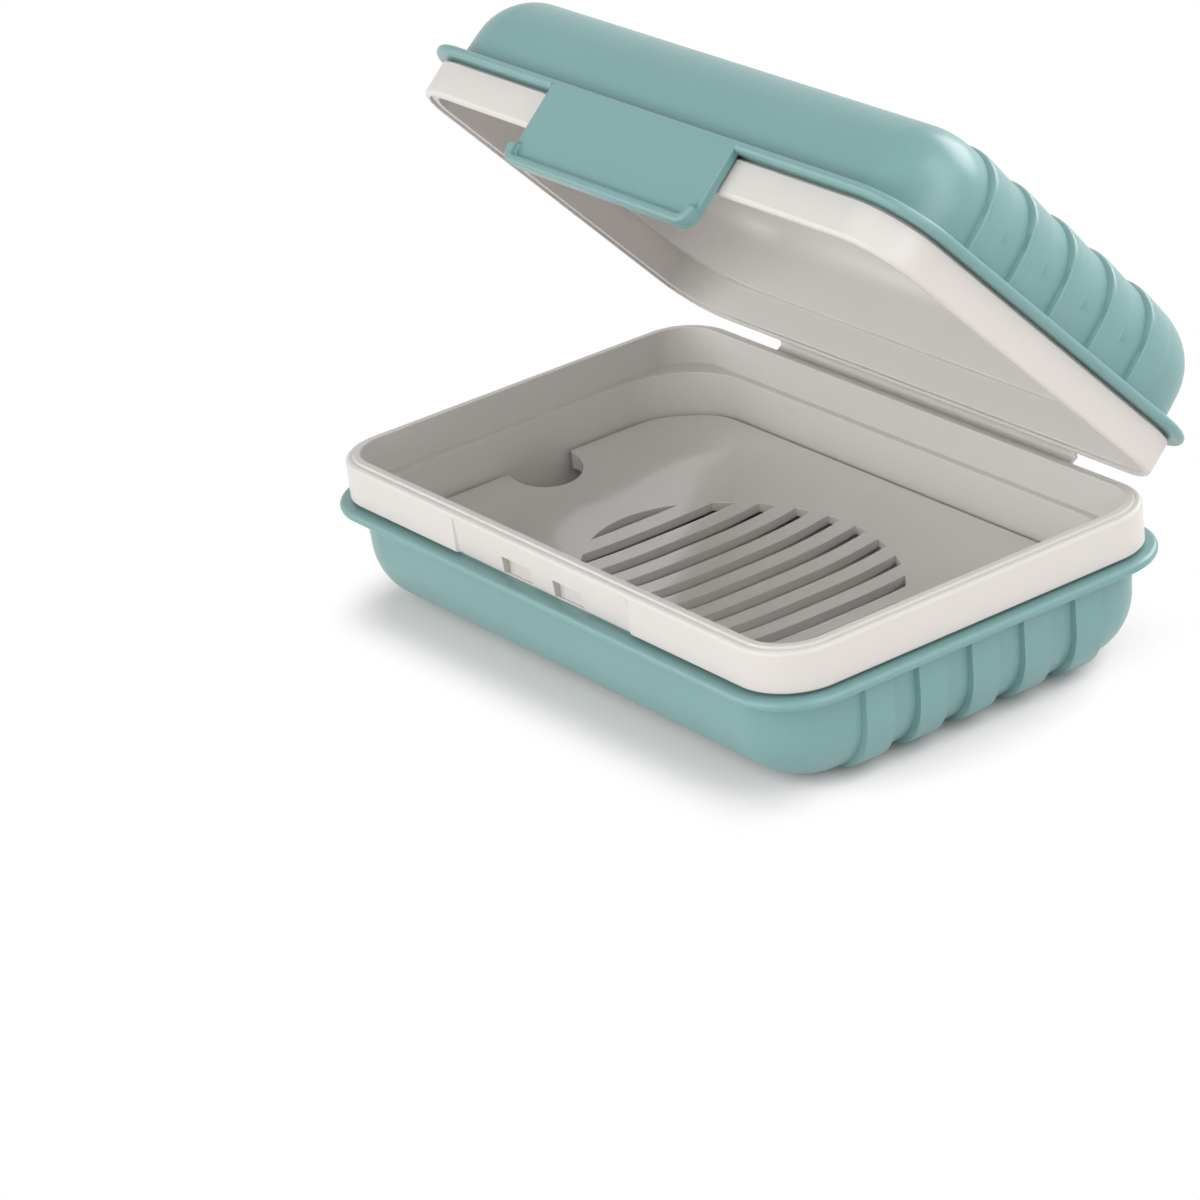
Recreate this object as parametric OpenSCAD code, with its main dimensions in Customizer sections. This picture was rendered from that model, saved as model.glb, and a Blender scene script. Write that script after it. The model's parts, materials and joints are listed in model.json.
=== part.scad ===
// Travel soap box: two ribbed shells, each with a pale liner, a film hinge, a snap flap and a drain tray.
// Millimetres. X runs along the length, the flap is at the front (-Y) and the film hinge at the rear (+Y).
// The origin is the middle of the underside. The lid is drawn open, as it stands on a wash stand.

/* [Case] */
// Length over the flanges, along X
case_l = 128; // [112:1:150]
// Depth over the flanges, along Y
case_w = 82; // [74:1:100]
// Height of the base, from the table to the parting line
base_h = 26.4; // [24:0.2:34]
// Height of the lid, from the parting line to its crown
lid_h = 24.4; // [22:0.2:34]
// How far the lid is drawn open, in degrees
lid_open = 47; // [0:1:100]

/* [Bands and flanges] */
// Height of the pale band on the base
base_band_h = 7.1; // [6.6:0.1:9]
// Height of the pale band on the lid
lid_band_h = 6.5; // [6:0.1:9]
// Corner radius of the pale bands, in plan
band_r = 10; // [8:0.5:12]
// How far a flange stands out beyond the band
flange_out = 2; // [1.4:0.1:2.6]
// Thickness of a flange, whose edge is a full round
flange_t = 2.6; // [2:0.1:3]
// Shadow gap between a band and its flange
band_gap = 0.4; // [0.2:0.1:0.8]

/* [Shells] */
// Wall of the outer shells
shell_t = 1.4; // [1.1:0.1:1.6]
// How far the shell wall sits behind the band's face
shell_inset = 0.8; // [0.6:0.1:1.4]
// Corner radius of the shells at the flange, in plan
shell_r = 12.5; // [12:0.5:14]
// Fillet between the walls and the base's underside
base_fillet = 11; // [9.5:0.5:11.5]
// Fillet between the walls and the lid's crown
lid_fillet = 11; // [9.5:0.5:11.5]
// Draft of the walls, in degrees
draft = 3; // [1:0.5:4]

/* [Ribs] */
// Number of ribs that wrap over each end
rib_count = 5; // [3:1:5]
// Distance from one rib to the next
rib_pitch = 10.5; // [9:0.5:11]
// Width of a rib
rib_w = 5.7; // [4:0.1:7]
// Front edge of the first rib, along Y
rib_first = -23.5; // [-26:0.5:-20]
// How far a rib's front edge stands proud on the end walls
rib_proud = 0.9; // [0.6:0.1:1.2]
// How far its rear edge stands proud there
rib_rear = 0.35; // [0.2:0.05:0.5]
// How far a rib stands proud on the crown and the underside
rib_crown = 0.4; // [0.3:0.1:0.7]

/* [Liners] */
// Wall of the liners below the bands
liner_t = 1.5; // [1.2:0.1:1.6]
// Gap between a liner and its shell
liner_gap = 0.2; // [0.1:0.05:0.4]
// Corner radius inside the liners, below their ledge, in plan
tub_r = 14; // [12:0.5:16]
// Wall of the bands at the rim
rim_t = 2.6; // [2.2:0.1:3]
// Rounding of the rims' outer edges
rim_round = 0.8; // [0.3:0.1:0.9]
// Depth of the step inside both liners, from the rim
ledge_z = 6.2; // [5.6:0.1:6.4]
// Width of the lip on the base's rim, which the lid's rim fits over
lip_t = 1.3; // [1:0.1:1.5]
// Height of that lip
lip_h = 0.6; // [0.4:0.1:1]
// Clearance between the lip and the lid's rim
lip_gap = 0.15; // [0.1:0.05:0.3]
// Gap between the two rims when the lid is shut
seam = 0.1; // [0.05:0.05:0.3]

/* [Hinge] */
// Length of the film hinge, along X
hinge_l = 76.4; // [50:0.2:90]
// Distance from the bands' rear face to the fold
hinge_out = 1.5; // [1.2:0.1:1.8]
// Thickness of the film at the fold
film_t = 0.5; // [0.3:0.05:0.7]
// Thickness of each leaf where it leaves its band
leaf_t = 0.9; // [0.7:0.1:1.2]

/* [Flap] */
// Width of the snap flap
flap_w = 48; // [36:1:56]
// Thickness of the flap
flap_t = 1.5; // [1.2:0.1:1.6]
// Clearance between the flap's lower edge and the base's flange
flap_gap = 0.35; // [0.25:0.05:0.6]
// How far the lifting lip stands out from the flap
tab_out = 1.6; // [1:0.1:2.5]
// Thickness of the lifting lip
tab_t = 1.7; // [1.2:0.1:2.4]
// Height of the turned-up ends of the lip
tab_end_h = 3.4; // [2.6:0.1:5]
// How far the lip reaches past each side of the flap
tab_side = 0.9; // [0.4:0.1:1.5]
// Width of each hook
hook_w = 7.2; // [5:0.1:9]
// Distance between the middles of the two hooks
hook_spacing = 14; // [11:0.5:22]
// How far a hook reaches behind the base band's face
hook_depth = 1.3; // [0.9:0.1:1.4]
// Height of a hook
hook_h = 2.5; // [1.8:0.1:2.7]
// Clearance round a hook in its pocket
hook_gap = 0.35; // [0.25:0.05:0.5]
// Depth of the ramp in the base band, at its lower edge
ramp_depth = 0.7; // [0.4:0.1:0.9]

/* [Tray] */
// Height of the tray's underside over the liner's floor
foot_h = 7.9; // [6.4:0.1:10]
// Thickness of the tray's plate
tray_t = 1.5; // [1.2:0.1:2]
// Clearance between the tray and the liner's wall
tray_gap = 0.8; // [0.5:0.1:1.2]
// Depth of the rim under the tray's edge, with the plate
tray_rim_h = 3; // [2:0.5:3.5]
// Wall of that rim
tray_rim_t = 1.2; // [1:0.1:1.6]
// Half length of the dished oval
dish_a = 35.5; // [34:0.5:40]
// Half width of the dished oval
dish_b = 25.5; // [23:0.5:28]
// Depth of the dish in the middle
dish_depth = 2.1; // [1.5:0.1:3]
// Number of drain slots
slot_count = 9; // [5:2:9]
// Distance from one slot to the next
slot_pitch = 6.9; // [6:0.1:7.2]
// Width of a slot
slot_w = 3.2; // [2.6:0.1:3.6]
// Half length of the oval that the slots fill
slot_a = 30.4; // [29.6:0.1:32]
// Half width of the oval that the slots fill
slot_b = 20; // [16:0.5:22]
// Radius of the thumb notch
notch_r = 6.6; // [5:0.2:8]
// Distance from the tray's end to the notch's centre
notch_in = 2.2; // [1:0.2:4]
// Diameter of the tray's feet
foot_d = 6; // [4:0.5:8]
// Distance from the middle to a foot, along X
foot_x = 40; // [37:0.5:41]
// Distance from the middle to a foot, along Y
foot_y = 23; // [20:0.5:24]

/* [Hidden] */
$fn = 64;

teal = [0.50, 0.66, 0.65];
pale = [0.84, 0.82, 0.79];
tray_colour = [0.71, 0.70, 0.68];

// More than any part of the case measures, for cuts that pass right through
past = 20;
// Overlap of a cut with the face it starts from
eps = 0.01;
// Flats in a fillet's quarter turn
fillet_steps = 14;

band_l = case_l - 2 * flange_out;
band_w = case_w - 2 * flange_out;
// Centres of the corner arcs of the bands and flanges
band_cx = band_l / 2 - band_r;
band_cy = band_w / 2 - band_r;
flange_r = band_r + flange_out;
// The shells' end, and the centres of their corner arcs
shell_end = band_l / 2 - shell_inset;
shell_side = band_w / 2 - shell_inset;
shell_cx = shell_end - shell_r;
shell_cy = shell_side - shell_r;

// The liners' wall, measured inwards from the shell's outer face
liner_in = shell_t + liner_gap;
cavity_in = liner_in + liner_t;
// Centres of the corner arcs inside the liners, which the tray shares
tub_cx = shell_end - cavity_in - tub_r;
tub_cy = shell_side - cavity_in - tub_r;
// The smooth form of each half, under its ribs
base_form_h = base_h - rib_crown;
lid_form_h = lid_h - rib_crown;
base_flange_z = base_band_h + band_gap;
lid_flange_z = lid_band_h + band_gap;
// Half of the flange's edge, where its round is widest
lid_flange_mid = lid_flange_z + flange_t / 2;

hinge_y = band_w / 2 + hinge_out;

// Flap, in the frame of the closed lid: z = 0 is the parting line
flap_face_y = -case_w / 2;
flap_bottom = -base_flange_z + flap_gap;
hook_top = flap_bottom + hook_gap + hook_h;
pocket_w = hook_w + 2 * hook_gap;
pocket_depth = hook_depth + hook_gap;

// Tray, in the frame of the base: z = 0 is the table
floor_top = rib_crown + cavity_in;
tray_top = floor_top + foot_h + tray_t;
tray_r = tub_r - (base_h - tray_top - base_flange_z) * tan(draft) - tray_gap;
tray_end = tub_cx + tray_r;
dish_ring = 48;
dish_rings = 5;

// Half section of a form whose wall leans in by the draft and turns over a fillet, in short flats.
// x is the distance from the corner centre and a its value at height ref.
module form_2d(a, z0, h, fillet, ref) {
    arc_z = h - fillet;
    arc_x = a - (arc_z - ref) * tan(draft) - fillet / cos(draft);
    polygon(concat(
        [[0, z0], [a - (z0 - ref) * tan(draft), z0]],
        [for (i = [0:fillet_steps]) let (t = draft + i * (90 - draft) / fillet_steps)
            [arc_x + fillet * cos(t), arc_z + fillet * sin(t)]],
        [[0, h]]
    ));
}

// Half section of a flat plate with a full round edge
module round_plate_2d(a, z0, t) {
    translate([0, z0]) square([a - t / 2, t]);
    intersection() {
        translate([a - t / 2, z0 + t / 2]) circle(t / 2);
        translate([a - t / 2, z0]) square([t, t]);
    }
}

// Half section of a band whose outer edge at z = 0 is rounded
module band_2d(a, h) {
    translate([0, rim_round]) square([a, h - rim_round]);
    square([a - rim_round, rim_round]);
    intersection() {
        translate([a - rim_round, rim_round]) circle(rim_round);
        translate([a - rim_round, 0]) square(rim_round);
    }
}

// Carries a half section round a rounded rectangle whose corner arcs are centred at cx, cy
module around(cx, cy) {
    for (q = [0:3]) {
        corner = [[1, 1], [-1, 1], [-1, -1], [1, -1]][q];
        translate([corner.x * cx, corner.y * cy, 0]) rotate(90 * q) rotate_extrude(angle = 90) children();
        across = q % 2 == 0 ? [cx, cy] : [cy, cx];
        rotate(90 * q) translate([across.x, across.y, 0]) rotate([90, 0, 0]) linear_extrude(2 * across.y) children();
    }
}

// The same for a solid form: a block closes its middle, from z0 to z1
module around_solid(cx, cy, z0, z1) {
    around(cx, cy) children();
    translate([-cx, -cy, z0]) cube([2 * cx, 2 * cy, z1 - z0]);
}

module shell_form(inset, z0, h, fillet, ref) {
    around_solid(shell_cx, shell_cy, z0, h) form_2d(shell_r - inset, z0, h, fillet, ref);
}

// The liners' wall, whose corners are rounder than the shells'
module tub_form(inset, z0, h, fillet, ref) {
    around_solid(tub_cx, tub_cy, z0, h) form_2d(tub_r + cavity_in - inset, z0, h, fillet, ref);
}

module band_block(inset, z0, z1) {
    r = band_r - inset;
    around_solid(band_cx, band_cy, z0, z1) translate([0, z0]) square([r, z1 - z0]);
}

// One rib on one end: the form's own section, swung about the rib's rear edge so that its front stands proud
module rib(y, h, fillet, ref, crown_rear, crown_front) {
    swing = atan((rib_proud - rib_rear) / rib_w);
    tilt = atan((crown_front - crown_rear) / rib_w);
    pivot = [shell_end, y + rib_w, h];
    intersection() {
        translate([0, y, ref + flange_t / 2]) cube([case_l, rib_w, h]);
        translate(pivot) rotate([-tilt, 0, swing]) translate(-pivot)
            translate([-rib_pitch, y + rib_w + rib_pitch / 2, crown_rear]) rotate([90, 0, 0])
                linear_extrude(2 * rib_pitch) form_2d(rib_pitch + shell_end + rib_rear, ref - crown_rear, h, fillet, ref);
    }
}

// A shell with its flange, its ribs and its hollow. z = 0 is the parting line and the crown points up.
module half_shell(h, flange_z, fillet, crown_rear, crown_front) {
    difference() {
        union() {
            around_solid(band_cx, band_cy, flange_z, flange_z + flange_t)
                round_plate_2d(flange_r, flange_z, flange_t);
            shell_form(0, flange_z, h, fillet, flange_z);
            for (k = [0:rib_count - 1], side = [0, 1])
                mirror([side, 0, 0])
                    rib(rib_first + k * rib_pitch, h, fillet, flange_z, crown_rear, crown_front);
        }
        shell_form(shell_t, flange_z - 1, h - shell_t, fillet - shell_t, flange_z);
    }
}

// A liner: the band outside, its seat on the flange, and the tub that fills the shell
module half_liner(h, band_h, flange_z, fillet) {
    difference() {
        union() {
            around_solid(band_cx, band_cy, 0, band_h) band_2d(band_r, band_h);
            band_block(shell_inset, band_h - eps, flange_z);
            tub_form(liner_in, ledge_z, h - liner_in, fillet - liner_in, flange_z);
        }
        band_block(rim_t, -1, ledge_z);
        tub_form(cavity_in, ledge_z - eps, h - cavity_in, fillet - cavity_in, flange_z);
    }
}

// Places a half with its crown down on the table
module as_base() {
    translate([0, 0, base_h]) mirror([0, 0, 1]) children();
}

// Places a half as the lid, swung open about the fold of the film hinge
module as_lid() {
    translate([0, hinge_y, base_h]) rotate([-lid_open, 0, 0]) translate([0, -hinge_y, 0]) children();
}

module base_shell() color(teal)
    as_base() half_shell(base_form_h, base_flange_z, base_fillet, rib_crown, rib_crown);

module base_liner() color(pale)
    difference() {
        as_base() {
            half_liner(base_form_h, base_band_h, base_flange_z, base_fillet);
            around(band_cx, band_cy) translate([band_r - rim_t, -lip_h]) square([lip_t, lip_h + ledge_z]);
        }
        translate([0, -band_w / 2, base_h]) keeper_cuts();
    }

// The ramp that the hooks ride down, and the two pockets that they snap into.
// The origin is on the band's front face, at the parting line.
module keeper_cuts() {
    low = -base_band_h - band_gap / 2;
    rotate([90, 0, 90]) translate([0, 0, -flap_w / 2]) linear_extrude(flap_w)
        polygon([[-1, -rim_round], [0, -rim_round], [ramp_depth, low], [-1, low]]);
    for (side = [-1, 1])
        translate([side * hook_spacing / 2 - pocket_w / 2, -1, low])
            cube([pocket_w, 1 + pocket_depth, hook_top + hook_gap - low]);
}

// Section of the film hinge: a leaf from each band's rear face to the fold, and a round behind the fold.
// x is Y from the fold and y is Z from it. swing turns a point of the closed lid's leaf to where it stands.
module film_2d() {
    root = rim_round + 0.1;
    swing = function (p) [
        p.x * cos(lid_open) + p.y * sin(lid_open),
        p.y * cos(lid_open) - p.x * sin(lid_open)
    ];
    bend = 180 - lid_open;
    polygon(concat(
        [[-hinge_out, -root], [-hinge_out, -root - leaf_t]],
        [for (i = [0:8]) film_t * [cos(i * bend / 8 - 90), sin(i * bend / 8 - 90)]],
        [swing([-hinge_out, root + leaf_t]), swing([-hinge_out, root]), [0, 0]]
    ));
}

module hinge_film() color(pale)
    translate([-hinge_l / 2, hinge_y, base_h]) rotate([90, 0, 90]) linear_extrude(hinge_l) film_2d();

module lid_shell() color(teal)
    as_lid() difference() {
        half_shell(lid_form_h, lid_flange_z, lid_fillet, 0, rib_crown);
        translate([-flap_w / 2, flap_face_y - 1, lid_flange_z - 1]) cube([flap_w, 1 + flap_t, 1 + flange_t / 2]);
    }

module lid_liner() color(pale)
    as_lid() difference() {
        half_liner(lid_form_h, lid_band_h, lid_flange_z, lid_fillet);
        band_block(rim_t - lip_t - lip_gap, -1, lip_h + lip_gap);
        translate([-case_l / 2, -case_w / 2, -1]) cube([case_l, case_w, 1 + seam]);
    }

// Front view of the lifting lip: a bar along the flap's lower edge with both ends turned up
module tab_outline() {
    half = flap_w / 2 + tab_side;
    round_r = tab_t;
    difference() {
        union() {
            translate([-half, round_r]) square([2 * half, tab_end_h - round_r]);
            translate([-half + round_r, 0]) square([2 * (half - round_r), round_r]);
            for (side = [-1, 1]) translate([side * (half - round_r), round_r]) circle(round_r);
        }
        translate([-half + tab_t, tab_t]) square([2 * (half - tab_t), tab_end_h]);
    }
}

module hook() {
    // The nose rises towards its tip, so that it catches under the pocket's roof
    reach = flange_out + hook_depth;
    nose = hook_h / 3;
    rotate([90, 0, 90]) translate([0, 0, -hook_w / 2]) linear_extrude(hook_w)
        polygon([[0, 0], [reach - nose, 0], [reach, nose], [reach, hook_h], [0, hook_h]]);
}

module latch_flap() color(teal)
    as_lid() {
        translate([-flap_w / 2, flap_face_y, flap_bottom])
            cube([flap_w, flap_t, lid_flange_mid - flap_bottom]);
        translate([0, flap_face_y + eps, flap_bottom]) rotate([90, 0, 0]) linear_extrude(tab_out) tab_outline();
        for (side = [-1, 1])
            translate([side * hook_spacing / 2, flap_face_y, hook_top - hook_h]) hook();
    }

// A shallow oval bowl with a flat lid, from rings of points: z = 0 is its edge and it is depth deep
module bowl(a, b, depth, top) {
    rings = [for (i = [0:dish_rings]) [for (k = [0:dish_ring - 1])
        let (s = 1 - i / (dish_rings + 1), t = 360 * k / dish_ring)
        [a * s * cos(t), b * s * sin(t), -depth * (1 - s * s)]]];
    points = concat(
        [[0, 0, top]],
        [for (k = [0:dish_ring - 1]) [rings[0][k].x, rings[0][k].y, top]],
        [for (ring = rings, p = ring) p],
        [[0, 0, -depth]]
    );
    levels = dish_rings + 2;
    at = function (level, k) 1 + level * dish_ring + k % dish_ring;
    last = len(points) - 1;
    faces = concat(
        [for (k = [0:dish_ring - 1]) [0, at(0, k + 1), at(0, k)]],
        [for (i = [0:levels - 2], k = [0:dish_ring - 1], half = [0, 1])
            half == 0 ? [at(i, k), at(i, k + 1), at(i + 1, k)]
                      : [at(i, k + 1), at(i + 1, k + 1), at(i + 1, k)]],
        [for (k = [0:dish_ring - 1]) [last, at(levels - 1, k), at(levels - 1, k + 1)]]
    );
    polyhedron(points, faces);
}

// A slot whose ends are cut along the oval
module slot(x) {
    half = function (at) slot_b * sqrt(1 - pow(at / slot_a, 2));
    left = x - slot_w / 2;
    right = x + slot_w / 2;
    translate([0, 0, -past]) linear_extrude(2 * past)
        polygon([[left, -half(left)], [right, -half(right)], [right, half(right)], [left, half(left)]]);
}

// The outermost slots are segments of the oval, curved outside and straight inside
module end_slot(x) {
    inner = abs(x) - slot_w / 2;
    half = slot_b * sqrt(1 - pow(inner / slot_a, 2));
    sag = slot_a - inner;
    arc_r = (half * half + sag * sag) / (2 * sag);
    intersection() {
        translate([sign(x) * (slot_a - arc_r), 0, -past]) cylinder(r = arc_r, h = 2 * past);
        translate([sign(x) * (inner + slot_w), 0, 0]) cube([2 * slot_w, 2 * slot_b, 2 * past], center = true);
    }
}

module drain_tray() color(tray_colour)
    translate([0, 0, tray_top]) {
        difference() {
            union() {
                around_solid(tub_cx, tub_cy, -tray_t, 0) translate([0, -tray_t]) square([tray_r, tray_t]);
                around(tub_cx, tub_cy)
                    translate([tray_r - tray_rim_t, -tray_rim_h]) square([tray_rim_t, tray_rim_h]);
                translate([0, 0, -tray_t]) bowl(dish_a + tray_t, dish_b + tray_t, dish_depth, tray_t / 2);
                // Wall round the thumb notch
                intersection() {
                    translate([-tray_end + notch_in, 0, -tray_rim_h])
                        cylinder(r = notch_r + tray_rim_t, h = tray_rim_h);
                    translate([-tray_end, -past, -past]) cube([2 * past, 2 * past, past]);
                }
            }
            bowl(dish_a, dish_b, dish_depth, 1);
            translate([-tray_end + notch_in, 0, -past]) cylinder(r = notch_r, h = 2 * past);
            last_slot = (slot_count - 1) / 2;
            for (k = [-last_slot:last_slot])
                if (abs(k) == last_slot) end_slot(k * slot_pitch);
                else slot(k * slot_pitch);
        }
        for (sx = [-1, 1], sy = [-1, 1])
            translate([sx * foot_x, sy * foot_y, floor_top - tray_top])
                cylinder(d = foot_d, h = tray_top - floor_top - tray_t / 2);
    }

base_shell();
base_liner();
hinge_film();
drain_tray();
lid_shell();
lid_liner();
latch_flap();
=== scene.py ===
# %% [markdown]
# A travel soap box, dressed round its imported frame.
# The real box is seven mouldings: two ribbed teal shells, a pale liner in each, a pale film hinge,
# a drain tray and a teal snap flap. The frame gives the true place of each one, so every piece here
# is modelled in millimetres, level with the plane where the two halves meet, and is then put where
# its node is. The hinge's axis and the outer sizes of the pieces are read from the frame, so that
# the dressed box and the plain one agree.

# %% Load the frame
import json
from math import acos, atan2, cos, degrees, pi, radians, sin, tan
import bmesh
import bpy
from mathutils import Matrix, Vector


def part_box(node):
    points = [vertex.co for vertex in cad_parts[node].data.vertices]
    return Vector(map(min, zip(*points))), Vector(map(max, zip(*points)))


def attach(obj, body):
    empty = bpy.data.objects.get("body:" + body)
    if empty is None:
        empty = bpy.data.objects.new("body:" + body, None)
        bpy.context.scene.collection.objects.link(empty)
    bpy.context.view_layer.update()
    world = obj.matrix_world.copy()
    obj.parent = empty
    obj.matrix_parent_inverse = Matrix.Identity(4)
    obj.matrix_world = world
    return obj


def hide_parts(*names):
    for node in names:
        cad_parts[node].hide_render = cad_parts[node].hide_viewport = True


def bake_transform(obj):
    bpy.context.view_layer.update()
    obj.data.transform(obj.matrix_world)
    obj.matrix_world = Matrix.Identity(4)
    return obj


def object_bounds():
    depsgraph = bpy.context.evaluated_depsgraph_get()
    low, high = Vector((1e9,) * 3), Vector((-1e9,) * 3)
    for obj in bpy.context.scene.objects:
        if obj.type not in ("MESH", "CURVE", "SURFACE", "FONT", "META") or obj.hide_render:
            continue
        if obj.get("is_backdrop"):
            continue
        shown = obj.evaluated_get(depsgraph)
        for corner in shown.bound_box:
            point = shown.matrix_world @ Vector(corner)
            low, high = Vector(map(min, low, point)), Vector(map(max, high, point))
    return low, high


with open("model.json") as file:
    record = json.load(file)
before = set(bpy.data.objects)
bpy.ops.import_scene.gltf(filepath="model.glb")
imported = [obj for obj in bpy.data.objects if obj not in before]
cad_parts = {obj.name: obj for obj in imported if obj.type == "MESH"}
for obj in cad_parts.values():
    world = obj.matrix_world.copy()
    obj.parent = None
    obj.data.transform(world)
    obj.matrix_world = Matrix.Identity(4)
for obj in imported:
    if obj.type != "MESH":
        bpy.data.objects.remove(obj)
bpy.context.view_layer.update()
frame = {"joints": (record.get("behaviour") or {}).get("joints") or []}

# %% [markdown]
# The record says where the fold is and how far the lid stands open at rest. The liner's box gives the
# pale band and the shell's box gives the flange round it. Taking these from the frame keeps the
# dressed pieces on their nodes if the case is made longer or deeper.

# %% Sizes that the frame gives, in millimetres
hinge = next(j for j in frame["joints"] if j["name"] == "lid_hinge")
hinge_y = 1000 * hinge["pos_m"][1]
base_h = 1000 * hinge["pos_m"][2]
lid_open = -hinge["range_deg"][0]


def half_size(node, axis):
    low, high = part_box(node)
    return 500 * (high[axis] - low[axis])


band_x, band_y = half_size("base_liner", 0), half_size("base_liner", 1)
case_x, case_y = half_size("base_shell", 0), half_size("base_shell", 1)
tray_x, tray_y = half_size("drain_tray", 0), half_size("drain_tray", 1)
tray_top = 1000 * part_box("drain_tray")[1].z
print("band", band_x, band_y, "case", case_x, case_y, "tray", tray_x, tray_y, tray_top)

# %% [markdown]
# Every half is first drawn as if it stood alone: z is 0 in the parting plane and grows towards the
# crown. One matrix turns that into the base, crown down on the table, and another swings it about
# the fold into the open lid. Both end in metres.

# %% Where the halves go
to_metres = Matrix.Scale(0.001, 4)
as_base = to_metres @ Matrix.Translation((0, 0, base_h)) @ Matrix.Diagonal((1, 1, -1, 1))
swing = (
    Matrix.Translation((0, hinge_y, base_h))
    @ Matrix.Rotation(radians(-lid_open), 4, "X")
    @ Matrix.Translation((0, -hinge_y, 0))
)
as_lid = to_metres @ swing

# %% [markdown]
# The camera stands where the photographer stood: a long lens, from the front right and a little
# above, tilted by seven degrees. A camera could be moved by eye until the view looks right, but the
# rims of the open box give its place and lens far more closely, so the figures come from a fit to
# them. It is made first, so that every piece can be looked at through it.

# %% Camera
view_azimuth, view_elevation, view_roll = radians(56.651), radians(24.366), radians(-6.984)
view_distance, pan_x, pan_y = 800.566, 23.489, 17.448
frame_pixels, focal_pixels = 1200, 4944.98
back = Vector((
    sin(view_azimuth) * cos(view_elevation),
    -cos(view_azimuth) * cos(view_elevation),
    sin(view_elevation),
))
level = Vector((cos(view_azimuth), sin(view_azimuth), 0))
upright = back.cross(level)
spot = back * view_distance - level * pan_x - upright * pan_y + Vector((0, 0, base_h))
right = cos(view_roll) * level + sin(view_roll) * upright
up = cos(view_roll) * upright - sin(view_roll) * level
bpy.ops.object.camera_add()
camera = bpy.context.object
camera.matrix_world = Matrix.Translation(spot * 0.001) @ Matrix((right, up, back)).transposed().to_4x4()
camera.data.sensor_width = 36
camera.data.lens = camera.data.sensor_width * focal_pixels / frame_pixels
camera.data.clip_start, camera.data.clip_end = 0.05, 20
bpy.context.scene.camera = camera
print("lens", round(camera.data.lens, 2), "mm")

# %% [markdown]
# A few helpers stand for what a modeller does by hand. Operators act on all that is selected, so each
# piece starts with nothing selected, and `pick` then chooses vertices, edges or faces by their place.
# Places closer than the slack count as level, and points closer than the weld become one.

# %% Helpers for edit mode
slack, fine_slack, weld, fine_weld = 0.01, 0.001, 0.002, 0.0005


def clear_selection():
    for obj in bpy.context.selected_objects:
        obj.select_set(False)


def edit(piece):
    clear_selection()
    bpy.context.view_layer.objects.active = piece
    piece.select_set(True)
    bpy.ops.object.mode_set(mode="EDIT")


def leave():
    bpy.ops.object.mode_set(mode="OBJECT")


def pick(test, kind="VERT"):
    """Selects what passes the test in the mesh that is open, and says how much that was."""
    bpy.ops.mesh.select_mode(type=kind)
    bpy.ops.mesh.select_all(action="DESELECT")
    mesh = bmesh.from_edit_mesh(bpy.context.object.data)
    parts = {"VERT": mesh.verts, "EDGE": mesh.edges, "FACE": mesh.faces}[kind]
    chosen = [part for part in parts if test(part)]
    for part in chosen:
        part.select_set(True)
    mesh.select_flush_mode()
    bmesh.update_edit_mesh(bpy.context.object.data)
    return len(chosen)


def middle(edge):
    return (edge.verts[0].co + edge.verts[1].co) / 2


def near(a, b, within=slack):
    return abs(a - b) < within


def cut(axis, place):
    """Cuts all of the open mesh by the plane that crosses an axis at one place."""
    bpy.ops.mesh.select_all(action="SELECT")
    normal = [float(name == axis) for name in "XYZ"]
    bpy.ops.mesh.bisect(plane_co=[place * part for part in normal], plane_no=normal)


def bevel_edges(piece, test, **settings):
    """Bevels the edges that pass the test, and says how many they were."""
    edit(piece)
    count = pick(test, "EDGE")
    bpy.ops.mesh.bevel(affect="EDGES", **settings)
    leave()
    return count


def apply_modifier(piece, kind, **settings):
    """Adds one modifier, sets it and applies it."""
    clear_selection()
    bpy.context.view_layer.objects.active = piece
    piece.select_set(True)
    bpy.ops.object.modifier_add(type=kind)
    modifier = piece.modifiers[-1]
    for name, value in settings.items():
        setattr(modifier, name, value)
    bpy.ops.object.modifier_apply(modifier=modifier.name)


def mirror(piece, axes):
    """Mirrors a piece across the middle planes that cross the named axes, and welds it there."""
    apply_modifier(piece, "MIRROR", use_axis=[axis in axes for axis in "XYZ"], merge_threshold=weld)


def join(first, *others):
    clear_selection()
    for obj in (first, *others):
        obj.select_set(True)
    bpy.context.view_layer.objects.active = first
    bpy.ops.object.join()
    return first


def soundness(piece):
    """How many edges of a mesh don't join exactly two faces, and its volume."""
    mesh = bmesh.new()
    mesh.from_mesh(piece.data)
    loose = sum(len(e.link_faces) != 2 for e in mesh.edges)
    volume = mesh.calc_volume(signed=True)
    mesh.free()
    return f"{loose} loose edges, volume {volume:.4g}"


def carve(piece, cutter, operation="DIFFERENCE"):
    """Cuts, or adds, one closed mesh with another, which is then thrown away."""
    print("  carve", piece.name, soundness(piece), "|", cutter.name, soundness(cutter))
    apply_modifier(piece, "BOOLEAN", operation=operation, object=cutter, solver="EXACT")
    bpy.data.objects.remove(cutter)


def box_piece(name, low, high):
    clear_selection()
    centre = [(a + b) / 2 for a, b in zip(low, high)]
    size = [b - a for a, b in zip(low, high)]
    bpy.ops.mesh.primitive_cube_add(size=1, location=centre, scale=size)
    bpy.ops.object.transform_apply(location=True, rotation=False, scale=True)
    bpy.context.object.name = name
    return bpy.context.object


# %% [markdown]
# Both halves, and their liners, are sections carried round a rounded rectangle. By hand that is a
# chain of vertices extruded from point to point, spun a quarter turn about the corner's axis, and
# drawn out to the two middle planes. Only a quarter is made, because mirrors give the rest.

# %% Helpers that carry a section round a corner
corner_steps = 22


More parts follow.
